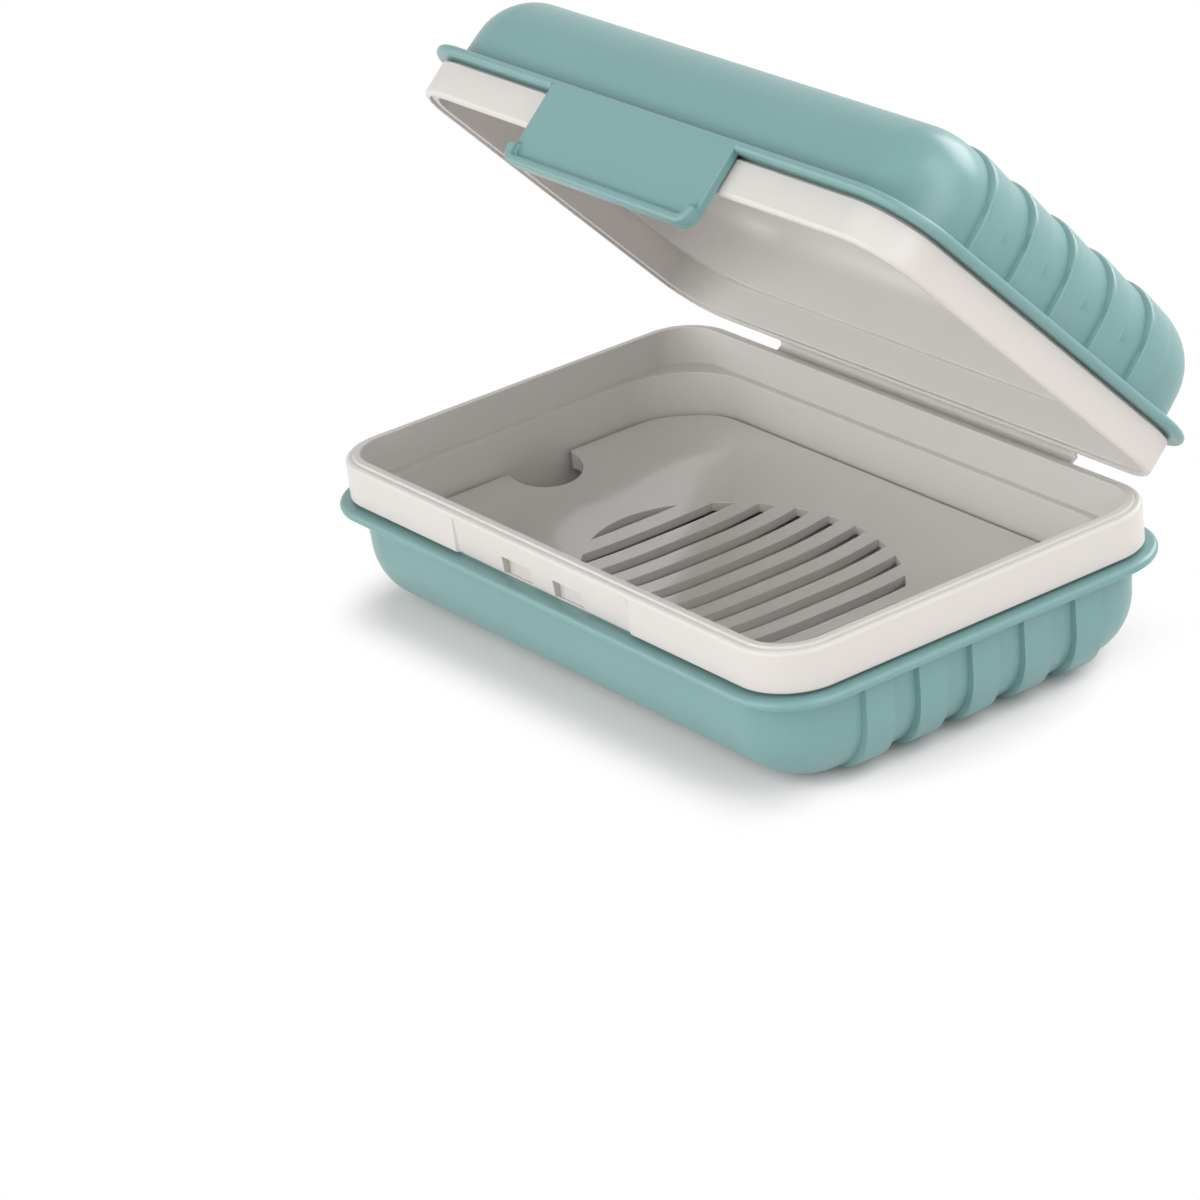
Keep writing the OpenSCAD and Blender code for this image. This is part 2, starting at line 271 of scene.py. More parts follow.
def arc(cx, cz, r, start, end, flats):
    """Points along an arc of a section, with angles in degrees from the r axis."""
    turns = [radians(start + (end - start) * i / flats) for i in range(flats + 1)]
    return [(cx + r * cos(t), cz + r * sin(t)) for t in turns]


def chain(name, points):
    """A new mesh of one vertex, extruded from point to point, left open in edit mode."""
    clear_selection()
    bpy.ops.mesh.primitive_plane_add(size=1, location=(0, 0, 0))
    bpy.context.object.name = name
    bpy.ops.object.mode_set(mode="EDIT")
    bpy.ops.mesh.select_mode(type="VERT")
    bpy.ops.mesh.select_all(action="SELECT")
    bpy.ops.mesh.merge(type="CENTER")
    bpy.ops.transform.translate(value=points[0])
    for a, b in zip(points, points[1:]):
        step = Vector(b) - Vector(a)
        bpy.ops.mesh.extrude_region_move(TRANSFORM_OT_translate={"value": step})
    return bpy.context.object


def slab(name, points, push):
    """A closed outline, filled and drawn out by one push."""
    piece = chain(name, points)
    bpy.ops.mesh.select_all(action="SELECT")
    bpy.ops.mesh.edge_face_add()
    bpy.ops.mesh.extrude_region_move(TRANSFORM_OT_translate={"value": push})
    bpy.ops.mesh.select_all(action="SELECT")
    bpy.ops.mesh.normals_make_consistent(inside=False)
    leave()
    return piece


def quarter(name, section, cx, cy):
    """A quarter of the form that a section makes when it goes round a rounded rectangle.
    A point of the section is (distance from the corner's axis, z)."""
    piece = chain(name, [(cx + r, cy, z) for r, z in section])
    bpy.ops.mesh.select_all(action="SELECT")
    bpy.ops.mesh.spin(steps=corner_steps, angle=-pi / 2, center=(cx, cy, 0), axis=(0, 0, 1))
    bpy.ops.mesh.select_all(action="SELECT")
    bpy.ops.mesh.remove_doubles(threshold=fine_weld)
    pick(lambda v: near(v.co.x, cx, fine_slack) and v.co.y > cy - fine_slack)
    bpy.ops.mesh.extrude_region_move(TRANSFORM_OT_translate={"value": (-cx, 0, 0)})
    pick(lambda v: near(v.co.y, cy, fine_slack) and v.co.x > cx - fine_slack)
    bpy.ops.mesh.extrude_region_move(TRANSFORM_OT_translate={"value": (0, -cy, 0)})
    leave()
    return piece


def close_middle(piece, cx, cy, z):
    """Fills the flat that the section leaves between the corners' axes."""
    edit(piece)

    def on_the_flat(v):
        return near(v.co.z, z) and abs(v.co.x) < cx + slack and abs(v.co.y) < cy + slack

    pick(
        lambda e: e.is_boundary and all(map(on_the_flat, e.verts)) and abs(middle(e).x) > slack,
        "EDGE",
    )
    bpy.ops.mesh.edge_face_add()
    leave()


def tidy_normals(piece):
    edit(piece)
    bpy.ops.mesh.select_all(action="SELECT")
    bpy.ops.mesh.remove_doubles(threshold=weld)
    bpy.ops.mesh.normals_make_consistent(inside=False)
    leave()


# %% [markdown]
# The last helper finishes a piece: it puts the mesh in its place in metres, smooths its round faces,
# gives it its finish and hides the node that it stands for. The body that carries it is named in the
# piece's own cell, because that is what makes it move.

# %% Helper that finishes a piece


def finish(piece, place, material, node, smooth=38, even=False):
    """Places, smooths and dresses a piece. Edges sharper than smooth, in degrees, stay sharp."""
    clear_selection()
    bpy.context.view_layer.objects.active = piece
    piece.select_set(True)
    piece.data.name = piece.name
    piece.data.transform(place)
    piece.data.update()
    edit(piece)
    bpy.ops.mesh.select_all(action="SELECT")
    bpy.ops.mesh.normals_make_consistent(inside=False)
    leave()
    bpy.ops.object.shade_smooth_by_angle(angle=radians(smooth))
    if even:
        apply_modifier(piece, "WEIGHTED_NORMAL", keep_sharp=True)
    piece.data.materials.clear()
    piece.data.materials.append(material)
    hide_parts(node)
    low = [min(v.co[i] for v in piece.data.vertices) * 1000 for i in range(3)]
    high = [max(v.co[i] for v in piece.data.vertices) * 1000 for i in range(3)]
    cad = [1000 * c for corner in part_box(node) for c in corner]
    passed = [round(max(a - b, c - d), 2) for a, b, c, d in zip(cad[:3], low, high, cad[3:])]
    print(piece.name, len(piece.data.polygons), "faces,", soundness(piece))
    print("  past its node by", passed, "mm")


# %% [markdown]
# The finishes come next. Each is one moulded plastic, told apart by its colour, its gloss and its
# grain. A small class lets shader values be added and multiplied like plain numbers, which keeps the
# recipes readable. Every other node comes from one helper, and colours go through Mix nodes, because
# a Math node would turn them grey.

# %% Helpers for materials


class Value:
    """A socket of a node tree that takes part in arithmetic."""

    def __init__(self, tree, socket):
        self.tree, self.socket = tree, socket

    def math(self, operation, *others):
        sockets = dict(enumerate((self, *others)))
        return add_node(self.tree, "ShaderNodeMath", {"operation": operation}, sockets)

    def __add__(self, other):
        return self.math("ADD", other)

    def __mul__(self, other):
        return self.math("MULTIPLY", other)

    def __sub__(self, other):
        return self.math("SUBTRACT", other)

    def __rsub__(self, other):
        return self.math("MULTIPLY", -1) + other

    __radd__, __rmul__ = __add__, __mul__


def connect(tree, value, slot):
    if isinstance(value, Value):
        tree.links.new(value.socket, slot)
    else:
        slot.default_value = value


def add_node(tree, kind, settings=None, sockets=None, out=0):
    """Adds a node: its settings first, then values or links for its sockets, by name or number."""
    node = tree.nodes.new(kind)
    for name, value in (settings or {}).items():
        setattr(node, name, value)
    for slot, value in (sockets or {}).items():
        connect(tree, value, node.inputs[slot])
    return Value(tree, node.outputs[out])


def mix_colour(tree, factor, first, second):
    return add_node(tree, "ShaderNodeMix", {"data_type": "RGBA"}, {0: factor, 6: first, 7: second}, 2)


def linear(*srgb):
    """A colour as the eye reads it, turned into the linear one that a shader takes."""
    return [c / 12.92 if c <= 0.04045 else ((c + 0.055) / 1.055) ** 2.4 for c in srgb] + [1]


# %% [markdown]
# Injection-moulded plastic is never one flat colour. Its skin carries the fine spark-eroded grain of
# the mould, the pigment drifts a little from gate to end, and handling leaves faint rubbed patches
# that shine more than the rest. A painted picture of that would need seams. So one recipe of noises
# on Object coordinates mixes slow drift and specks in the colour, rubbed patches in the roughness
# and fine grain in the bump. The tray is a harder, glossier plastic, with hardly any grain.

# %% Moulded plastic
drift_scale, rub_scale, speck_scale, grain_scale = 22.0, 85.0, 900.0, 2600.0
speck_share, speck_height, grain_depth = 0.2, 0.6, 0.00006
rub_swing, grain_swing, glossiest = 0.16, 0.05, 0.06


def moulded_plastic(name, colour, roughness, grain, drift=0.03, specular=0.5):
    """A finish, from its colour, mean roughness, strength of grain, drift of pigment and shine."""
    material = bpy.data.materials.new(name)
    material.use_nodes = True
    tree = material.node_tree
    shader = tree.nodes["Principled BSDF"]
    place = add_node(tree, "ShaderNodeTexCoord", out="Object")

    def noise(scale, detail, falloff=0.5):
        sockets = {"Vector": place, "Scale": scale, "Detail": detail, "Roughness": falloff}
        return add_node(tree, "ShaderNodeTexNoise", sockets=sockets)

    pigment = noise(drift_scale, 3)
    rubbed = noise(rub_scale, 6, 0.65)
    fine = noise(grain_scale, 2, 0.6)
    speck = noise(speck_scale, 1)
    darker = linear(*[c * (1 - drift) for c in colour])
    lighter = linear(*[min(1, c * (1 + drift)) for c in colour])
    tint = mix_colour(tree, pigment * (1 - speck_share) + speck * speck_share, darker, lighter)
    gloss = roughness + (rubbed - 0.5) * rub_swing + (fine - 0.5) * grain_swing
    relief = {"Height": fine + speck * speck_height, "Strength": grain, "Distance": grain_depth}
    connect(tree, tint, shader.inputs["Base Color"])
    connect(tree, gloss.math("MAXIMUM", glossiest), shader.inputs["Roughness"])
    connect(tree, add_node(tree, "ShaderNodeBump", sockets=relief), shader.inputs["Normal"])
    shader.inputs["Specular IOR Level"].default_value = specular
    return material


teal = moulded_plastic("teal_polypropylene", (0.424, 0.577, 0.573), 0.34, grain=0.2)
pale = moulded_plastic("pale_polypropylene", (0.780, 0.768, 0.752), 0.36, grain=0.12, drift=0.012)
grey = moulded_plastic(
    "tray_polystyrene", (0.770, 0.760, 0.745), 0.09, grain=0.02, drift=0.012, specular=1.0
)
print("finishes:", teal.name, pale.name, grey.name)

# %% [markdown]
# The shells. Each is a thin cup with a flange whose edge is a full round bead, a shelf behind the
# bead, and walls that lean in and turn over a generous fillet. A box with bevelled edges would be
# quicker, but the bead follows one corner radius and the wall another. So two sections are spun
# about their own axes and bridged along the shelf. The same bridge closes the rim inside, where the
# shell meets its liner.

# %% The section of a shell
flange_t, band_r, shell_r, shell_t = 1.7, 10, 12.5, 1.4
shell_inset, shelf_drop, foot_r, draft = 0.8, 0.25, 0.5, 3
flange_seat, bead_turn_in, bead_turn_drop, shelf_in = 1.3, 0.3, 0.04, 0.42
flange_x, flange_y = band_x - band_r, band_y - band_r
shell_x, shell_y = band_x - shell_inset - shell_r, band_y - shell_inset - shell_r
flange_r = case_x - flange_x
fillet, fillet_flats, bead_flats, foot_flats, wall_rows = 11, 18, 16, 5, 8


def wall(a, level_z, start_z, h, fillet_r, rows):
    """A wall that leans in by the draft and turns over a fillet to the crown, whose height is h."""
    fillet_z = h - fillet_r

    def wall_r(z):
        return a - (z - level_z) * tan(radians(draft))

    fillet_axis = wall_r(fillet_z) - fillet_r / cos(radians(draft))
    rise = [start_z + (fillet_z - start_z) * i / rows for i in range(rows)]
    bend = arc(fillet_axis, fillet_z, fillet_r, draft, 90, fillet_flats)
    return [(wall_r(z), z) for z in rise] + bend + [(0, h)]


def on_middle(edge):
    """True for an edge that lies in one of the two middle planes, where the mirrors will close it."""
    return all(near(v.co.x, 0) for v in edge.verts) or all(near(v.co.y, 0) for v in edge.verts)


def bridge_level(piece, z):
    """Joins the two open edges at one height, apart from what lies in the middle planes."""
    edit(piece)
    pick(lambda e: e.is_boundary and near(middle(e).z, z) and not on_middle(e), "EDGE")
    bpy.ops.mesh.bridge_edge_loops()
    leave()


def shell_quarter(name, flange_z, h):
    """A quarter of a shell that is h high, open where the mirrors and the flat crown will close it."""
    top = flange_z + flange_t
    bead_r = flange_r - flange_t / 2
    shelf_z = top - shelf_drop
    bead = [(band_r - flange_seat, flange_z)]
    bead += arc(bead_r, flange_z + flange_t / 2, flange_t / 2, -90, 90, bead_flats)
    bead += [(bead_r - bead_turn_in, top - bead_turn_drop), (bead_r - shelf_in, shelf_z)]
    foot_z = shelf_z + foot_r
    foot_a = shell_r - (foot_z - flange_z) * tan(radians(draft))
    foot = arc(foot_a + foot_r, foot_z, foot_r, -90, -180, foot_flats)[:-1]
    outside = foot + wall(shell_r, flange_z, foot_z, h, fillet, wall_rows)
    inside = wall(shell_r - shell_t, flange_z, flange_z, h - shell_t, fillet - shell_t, 1)
    flange = quarter(name, bead, flange_x, flange_y)
    skin = quarter(name + "_skin", outside, shell_x, shell_y)
    skin.vertex_groups.new(name="skin").add(range(len(skin.data.vertices)), 1, "REPLACE")
    hollow = quarter(name + "_hollow", inside, shell_x, shell_y)
    piece = join(flange, skin, hollow)
    bridge_level(piece, flange_z)
    bridge_level(piece, shelf_z)
    return piece


# %% [markdown]
# The ribs are what makes this box: five soft-edged steps wrap over each end, like overlapping tiles.
# Each rises sharply at its front edge and ends in a second edge at its rear. The base's ribs are
# nearly level between the two, so both edges show. The lid's fall away from the front edge, and
# their rear edge is low and all but dies out where the wall turns over. This cell only says how high
# the skin stands at a place, as straight stretches between the knots of one rib.

# %% Height of the ribs
rib_count, rib_pitch, rib_first, rib_w = 5, 10.5, -23.5, 5.7
rise_half, nose, rear_nose, rear_half, support = 0.14, 0.42, 0.4, 0.09, 1.1
rise_share, nose_share, drop_share, tail_share, knot_slack = 0.78, 0.97, 0.93, 0.02, 0.0001
# How far the skin stands out at a rib's front edge, before its rear edge and behind it:
# on the end wall, where the wall turns over, and on the crown
base_steps = ((1.25, 1.4, 0.35), (1.4, 1.4, 0.4), (0.4, 0.4, 0.0))
lid_steps = ((1.0, 0.5, 0.2), (1.15, 0.5, 0.4), (0.4, 0.25, 0.14))


def rib_height(y, steps):
    """How far the ribbed skin stands out at y, with the three heights of this part of the skin."""
    front, rear, strip = steps
    along = (y - rib_first + rise_half) / rib_pitch
    if along < 0 or y > rib_first + rib_count * rib_pitch - rise_half:
        return 0
    u = (along % 1) * rib_pitch - rise_half
    knots = [
        (-rise_half, 0),
        (rise_half, rise_share * front),
        (nose, nose_share * front),
        (support, front),
        (rib_w - rear_nose, rear),
        (rib_w - rear_half, drop_share * rear),
        (rib_w + rear_half, strip),
        (rib_pitch - support, tail_share * strip),
        (rib_pitch - rise_half, 0),
    ]
    for (a, low), (b, high) in zip(knots, knots[1:]):
        if u <= b + knot_slack:
            return low + (high - low) * max(0, (u - a) / (b - a))
    return 0


# %% [markdown]
# Separate blocks sunk into the shell would be easier than this, but the real ribs are one skin with
# it. So the smooth shell is cut by planes where the edges run, and weights then lift the vertices
# between them: out along X on the end walls, towards the crown on top, and a share of both round the
# fillet. A vertex weight stops at 1, which also cuts the tops of the base's ribs level, one
# millimetre out from the wall.

# %% Ribs on a shell
turn_under, turn_reach, crown_from, foot_share = 3, 8, 32, 0.35


def smoothstep(t):
    t = min(1, max(0, t))
    return t * t * (3 - 2 * t)


def lift(piece, group, direction, by):
    """Moves every vertex along an axis, by its weight in a group times a distance."""
    settings = {"vertex_group": group, "direction": direction, "strength": by, "mid_level": 0}
    apply_modifier(piece, "DISPLACE", **settings)


def ribs(piece, flange_z, h, steps):
    """Cuts the half shell where the ribs' edges run, and lifts its skin between them."""
    edit(piece)
    offsets = (-support, -rise_half, rise_half, nose, support)
    offsets += (rib_w - rear_nose, rib_w - rear_half, rib_w + rear_half)
    for k in range(rib_count):
        for offset in offsets:
            cut("Y", rib_first + k * rib_pitch + offset)
    leave()
    fillet_z = h - fillet
    fillet_axis = shell_x + shell_r - (fillet_z - flange_z) * tan(radians(draft)) - fillet
    foot_z = flange_z + flange_t - shelf_drop
    outwards = piece.vertex_groups.new(name="outwards")
    crownwards = piece.vertex_groups.new(name="crownwards")
    skin = piece.vertex_groups["skin"].index
    for v in piece.data.vertices:
        if not any(g.group == skin and g.weight > 0.5 for g in v.groups):
            continue
        x, y, z = v.co
        turn = 0
        if z > fillet_z:
            turn = degrees(atan2(z - fillet_z, max(0, x - fillet_axis)))
        crown = smoothstep((turn - crown_from) / (90 - crown_from))
        turning = smoothstep((z - fillet_z + turn_under) / turn_reach)
        low, turned, top = (rib_height(y, three) for three in steps)
        height = (low + (turned - low) * turning) * (1 - crown) + top * crown
        foot = min(1, foot_share + (1 - foot_share) * (z - foot_z) / foot_r)
        outwards.add([v.index], height * cos(radians(turn)) * foot, "REPLACE")
        crownwards.add([v.index], height * sin(radians(turn)), "REPLACE")
    lift(piece, "outwards", "X", 1)
    lift(piece, "crownwards", "Z", 1)
    piece.vertex_groups.clear()


def shell(name, flange_z, h, steps):
    """A whole shell: a quarter, mirrored to the right half, ribbed, and mirrored to the left."""
    piece = shell_quarter(name, flange_z, h)
    mirror(piece, "Y")
    close_middle(piece, shell_x, shell_y, h)
    close_middle(piece, shell_x, shell_y, h - shell_t)
    ribs(piece, flange_z, h, steps)
    mirror(piece, "X")
    tidy_normals(piece)
    return piece


# %% [markdown]
# The base's shell stands on its ribs, so on its underside they are level, and the smooth crown lies
# deeper by their height. The same functions draw both shells, so the two can't drift apart.

# %% Base shell
rib_crown = 0.4
base_band_h, lid_band_h, band_gap = 7.0, 6.4, 0.5
base_flange_z, lid_flange_z = base_band_h + band_gap, lid_band_h + band_gap
base_shell = shell("ribbed_base_shell", base_flange_z, base_h - rib_crown, base_steps)
finish(base_shell, as_base, teal, "base_shell")
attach(base_shell, "base")

# %% [markdown]
# On the lid's crown each rib fades towards the next. The lid's shell also gets one more cut: along
# the snap flap, the lower half of the bead makes room for the flap's root, so that the flap's face
# runs up into the bead without a line.

# %% Lid shell
lid_h = 24.4
flap_half, flap_t, past = 24, 1.5, 5
lid_bead_z = lid_flange_z + flange_t / 2
lid_shell = shell("ribbed_lid_shell", lid_flange_z, lid_h - rib_crown, lid_steps)
root_low = (-flap_half, -case_y - past, lid_flange_z - past)
carve(lid_shell, box_piece("flap_root", root_low, (flap_half, -case_y + flap_t, lid_bead_z)))
finish(lid_shell, as_lid, teal, "lid_shell")
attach(lid_shell, "lid")

# %% [markdown]
# The liners are the pale cups that the shells clip over. Above the flange a liner is a plain band with
# a rounded rim, and below it a deep tub with rounder corners. A thickened copy of the shell would miss
# that change of corners, so again two sections go round two corner axes. A narrow ledge joins them
# inside, and that ledge is the fine line seen along the walls.

# %% The section of a liner
liner_in, cavity_in, tub_r, rim_t, rim_round, ledge_z = 1.6, 3.1, 14, 2.6, 0.8, 6.2
# A rounded edge is two flats: its reach, and how far in and up their middle point lies
edge_r, edge_in, edge_up, seat_in = 0.22, 0.08, 0.06, 1.25
tub_x, tub_y = shell_x + shell_r - cavity_in - tub_r, shell_y + shell_r - cavity_in - tub_r
rim_in = band_r - rim_t


def inner_edge(z):
    """The inner face of a rim that ends at z, from its ledge to its rounded edge."""
    return [
        (rim_in, ledge_z / 2),
        (rim_in, z + edge_r),
        (rim_in + edge_in, z + edge_up),
        (rim_in + edge_r, z),
    ]


def shoulder(r, z):
    """The round outer edge of a rim, from its top to the band's face."""
    return arc(r - rim_round, z + rim_round, rim_round, -90, 0, 6)


def liner(name, rim, band_h, flange_z, h):
    """A liner whose rim section is given, from its inner edge to its outer shoulder."""
    outside = [(band_r, band_h - edge_r), (band_r - edge_r, band_h)]
    seat = [(band_r - seat_in, band_h), (band_r - seat_in, flange_z)]
    band = quarter(name, [(rim_in, ledge_z)] + rim + outside + seat, flange_x, flange_y)
    ledge_a = tub_r - (ledge_z - flange_z) * tan(radians(draft))
    ledge = [(ledge_a + edge_r, ledge_z), (ledge_a + edge_up, ledge_z + edge_up)]
    inside = ledge + wall(tub_r, flange_z, ledge_z + edge_r, h - cavity_in, fillet - cavity_in, 3)
    tub = quarter(name + "_tub", inside, tub_x, tub_y)
    outer_r = tub_r + cavity_in - liner_in
    outer = wall(outer_r, flange_z, flange_z, h - liner_in, fillet - liner_in, 1)
    back_of_tub = quarter(name + "_back", outer, tub_x, tub_y)
    piece = join(band, tub, back_of_tub)
    bridge_level(piece, ledge_z)
    bridge_level(piece, flange_z)
    mirror(piece, "Y")
    close_middle(piece, tub_x, tub_y, h - cavity_in)
    close_middle(piece, tub_x, tub_y, h - liner_in)
    mirror(piece, "X")
    tidy_normals(piece)
    return piece


# %% [markdown]
# The base's rim carries a low lip along its inner edge, which the lid's rim fits over. The lip is part
# of the section, so it runs round all four corners by itself.

# %% Base liner
lip_t, lip_h, lip_edge_r, lip_edge_in, lip_edge_up, lip_foot = 1.3, 0.4, 0.2, 0.05, 0.07, 0.1
lip_out = rim_in + lip_t
base_rim = inner_edge(-lip_h)
base_rim += [(lip_out - lip_edge_r, -lip_h), (lip_out - lip_edge_in, -lip_h + lip_edge_up)]
base_rim += [(lip_out, -lip_foot), (lip_out + lip_foot, 0)] + shoulder(band_r, 0)
base_liner = liner("base_liner_tub", base_rim, base_band_h, base_flange_z, base_h - rib_crown)

# %% [markdown]
# On the front of the band is the flap's keeper: a shallow ramp as wide as the flap, deepest at its
# lower edge, and two square pockets that the flap's hooks snap into. For the ramp the band is cut at
# both ends and its lower edge pushed in, and the pockets are cut out with blocks.

# %% Keeper and pockets
keeper_half, keeper_jog, ramp_depth = 23.9, 0.3, 0.62
hook_w, hook_spacing, hook_gap, hook_h, hook_depth, pocket_open = 7.2, 14, 0.35, 2.5, 1.3, 0.2
flap_bottom = -base_flange_z + hook_gap
hook_top = flap_bottom + hook_gap + hook_h
edit(base_liner)
for x in (keeper_half, keeper_half - keeper_jog):
    for side in (-1, 1):
        cut("X", side * x)
pick(
    lambda v: abs(v.co.x) < keeper_half - keeper_jog + slack
    and v.co.y < -band_y + edge_r + slack
    and base_band_h - edge_r - slack < v.co.z < base_band_h + slack
)
bpy.ops.transform.translate(value=(0, ramp_depth, 0))
leave()
for side in (-1, 1):
    left_x = side * hook_spacing / 2 - hook_w / 2 - hook_gap
    right_x = left_x + hook_w + 2 * hook_gap
    pocket_low = (left_x, -band_y - past, -hook_top - hook_gap)
    pocket_high = (right_x, -band_y + hook_depth + hook_gap, base_band_h + pocket_open)
    carve(base_liner, box_piece("pocket", pocket_low, pocket_high))
finish(base_liner, as_base, pale, "base_liner", even=True)
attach(base_liner, "base")

# %% [markdown]
# The lid's rim is rebated along its inner edge, so that it closes over the base's lip. It is the
# same liner with another rim, and a thin seam is left between the two bands.

# %% Lid liner
lip_gap, seam, seam_edge = 0.15, 0.1, 0.1
rebate_z, rebate_out = lip_h + lip_gap, lip_out + lip_gap
lid_rim = inner_edge(rebate_z) + [(rebate_out, rebate_z), (rebate_out, seam + seam_edge)]
lid_rim += [(rebate_out + seam_edge, seam)] + shoulder(band_r, seam)
lid_liner = liner("lid_liner_tub", lid_rim, lid_band_h, lid_flange_z, lid_h - rib_crown)
finish(lid_liner, as_lid, pale, "lid_liner", even=True)
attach(lid_liner, "lid")

# %% [markdown]
# The film hinge is a thin strip moulded with the liners. It leaves each band as a short leaf and
# thins to half a millimetre at the fold. A bent plane with a thickness would give no leaves, so its
# section is drawn once, filled and drawn out along X. The places where it would bend between base
# and lid are worked out, but nothing here bends it.

# %% Film hinge
hinge_half = half_size("hinge_film", 0)
hinge_out, film_t, leaf_t = hinge_y - band_y, 0.5, 0.9
leaf_gap, fold_in, fold_half, bend_share = 0.1, 0.1, 0.06, 0.25
leaf_root = rim_round + leaf_gap


def film_point(y, z, opened):
    """A point of the film's section, measured from the fold. The lid's leaf is swung open."""
    if opened:
        turn = radians(lid_open)
        y, z = y * cos(turn) + z * sin(turn), z * cos(turn) - y * sin(turn)
    return hinge_y + y, base_h + z


base_leaf = [film_point(-hinge_out, z, False) for z in (-leaf_root, -leaf_root - leaf_t)]
fold = [film_point(y, z, False) for y, z in arc(0, 0, film_t, -90, 90 - lid_open, 10)]
lid_leaf = [film_point(-hinge_out, z, True) for z in (leaf_root + leaf_t, leaf_root)]
inner_fold = [film_point(-fold_in, fold_half, True), film_point(-fold_in, -fold_half, False)]
film_outline = base_leaf + fold + lid_leaf + inner_fold
film = slab("film_hinge_strip", [(-hinge_half, y, z) for y, z in film_outline], (2 * hinge_half, 0, 0))
finish(film, to_metres, pale, "hinge_film")
leaf_mid = leaf_root + leaf_t / 2
blend_start = film_point(-hinge_out * bend_share, -leaf_mid * bend_share, False)
blend_end = film_point(-hinge_out * bend_share, leaf_mid * bend_share, True)
start, end = ([0, 0.001 * y, 0.001 * z] for y, z in (blend_start, blend_end))
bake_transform(film)

# %% [markdown]
# The snap flap hangs from the lid's bead. Its face is a flat plate with two round lower corners and
# a soft edge. A block with bevelled corners would do, but an outline sets both corner rounds and the
# straight root in one go. It is filled and thickened, and its front edges are then bevelled.

# %% Plate of the snap flap
tab_side, tab_r, plate_up, flap_edge_r = 0.25, 2.6, 0.1, 0.35
tab_half = flap_half + tab_side
face_y = -case_y
corner_x, corner_z = flap_half - tab_r, flap_bottom + plate_up + tab_r
flap_outline = [(-flap_half, lid_bead_z)]
flap_outline += arc(-corner_x, corner_z, tab_r, 180, 270, 10)
flap_outline += arc(corner_x, corner_z, tab_r, 270, 360, 10)
flap_outline += [(flap_half, lid_bead_z)]
flap = slab("snap_flap", [(x, face_y, z) for x, z in flap_outline], (0, flap_t, 0))
plate_edges = bevel_edges(
    flap,
    lambda e: near(middle(e).y, face_y) and middle(e).z < lid_bead_z - plate_up,
    offset=flap_edge_r,
    segments=3,
)
print("plate edges rounded:", plate_edges)

# %% [markdown]
# Along its lower edge runs a lifting lip whose ends turn up in a round, so a finger finds it from the
# front or the side. A swept profile would pinch at those ends, so the right half of the lip is drawn
# in front view, thickened, mirrored and rounded. It is fused with the plate, and the inner corner
# where they meet is filleted.

# %% Lifting lip
tab_out, tab_t, tab_end_h, tab_root = 1.35, 1.5, 3.5, 0.4
tab_end_r, tab_edge_r, tab_fillet_r, end_margin, top_margin = 0.7, 0.55, 0.4, 0.5, 0.05
turn_x, turn_z = tab_half - tab_r, flap_bottom + tab_r
end_x, end_z = tab_half - tab_end_r, flap_bottom + tab_end_h - tab_end_r
lip_outline = [(turn_x, flap_bottom)] + arc(turn_x, turn_z, tab_r, -90, 0, 8)[1:]
lip_outline += arc(end_x, end_z, tab_end_r, 0, 90, 4)
lip_outline += [(tab_half - tab_t, flap_bottom + tab_end_h)]
lip_outline += arc(turn_x, turn_z, tab_r - tab_t, 0, -90, 5)
lip_outline += [(0, flap_bottom + tab_t), (0, flap_bottom)]
lip_push = (0, -tab_out - tab_root, 0)
lip = slab("lip", [(x, face_y + tab_root, z) for x, z in lip_outline], lip_push)
edit(lip)
pick(lambda f: near(f.calc_center_median().x, 0) and near(abs(f.normal.x), 1), "FACE")
bpy.ops.mesh.delete(type="FACE")
leave()
mirror(lip, "X")
tidy_normals(lip)
bevel_edges(
    lip,
    lambda e: near(middle(e).y, face_y - tab_out) and not near(middle(e).x, 0, fine_slack),
    offset=tab_edge_r,
    segments=4,
)
carve(flap, lip, "UNION")
root_edges = bevel_edges(
    flap,
    lambda e: all(near(v.co.y, face_y) for v in e.verts)
    and abs(middle(e).x) < flap_half - end_margin
    and middle(e).z < flap_bottom + tab_end_h + top_margin
    and len(e.link_faces) == 2
    and not e.is_convex,
    offset=tab_fillet_r,
    segments=3,
    loop_slide=False,
)
print("root edges filleted:", root_edges)

# %% [markdown]
# Two hooks behind the flap catch in the base's pockets. Each is a block with a bevel that lets it
# ride over the band when the lid is pressed shut.

# %% Hooks
hook_bevel = hook_h / 3
for side in (-1, 1):
    hook_x = side * hook_spacing / 2
    hook_y = face_y + (case_y - band_y) + hook_depth
    low = (hook_x - hook_w / 2, face_y + flap_t / 2, hook_top - hook_h)
    hook = box_piece("hook", low, (hook_x + hook_w / 2, hook_y, hook_top))
    bevel_edges(
        hook,
        lambda e: near(middle(e).y, hook_y) and near(middle(e).z, hook_top - hook_h),
        offset=hook_bevel,
        segments=1,
    )
    carve(flap, hook, "UNION")
finish(flap, as_lid, teal, "latch_flap", even=True)
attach(flap, "latch")

# %% [markdown]
# The drain tray lifts out of the base. It is a plate with a short skirt, a thumb notch at one end and
# ten slots whose ends follow an oval. Everything is cut, fused and rounded while the plate is still
# flat, because flat edges bevel cleanly, and the plate is bent last.

# %% Drain tray, flat
tray_r = tray_x - tub_x
tray_t, tray_rim_h, tray_edge_r, tray_rim_t = 1.5, 3.0, 0.45, 1.2
tray_section = [(tray_r - tray_rim_t, z) for z in (-tray_t, -tray_rim_h)] + [(tray_r, -tray_rim_h)]
tray_section += arc(tray_r - tray_edge_r, -tray_edge_r, tray_edge_r, 0, 90, 5)
tray = quarter("drain_tray_plate", tray_section, tub_x, tub_y)
mirror(tray, "XY")
edit(tray)
for level_z in (0, -tray_t):
    pick(lambda e: e.is_boundary and near(middle(e).z, level_z), "EDGE")
    bpy.ops.mesh.edge_face_add()
leave()
tidy_normals(tray)

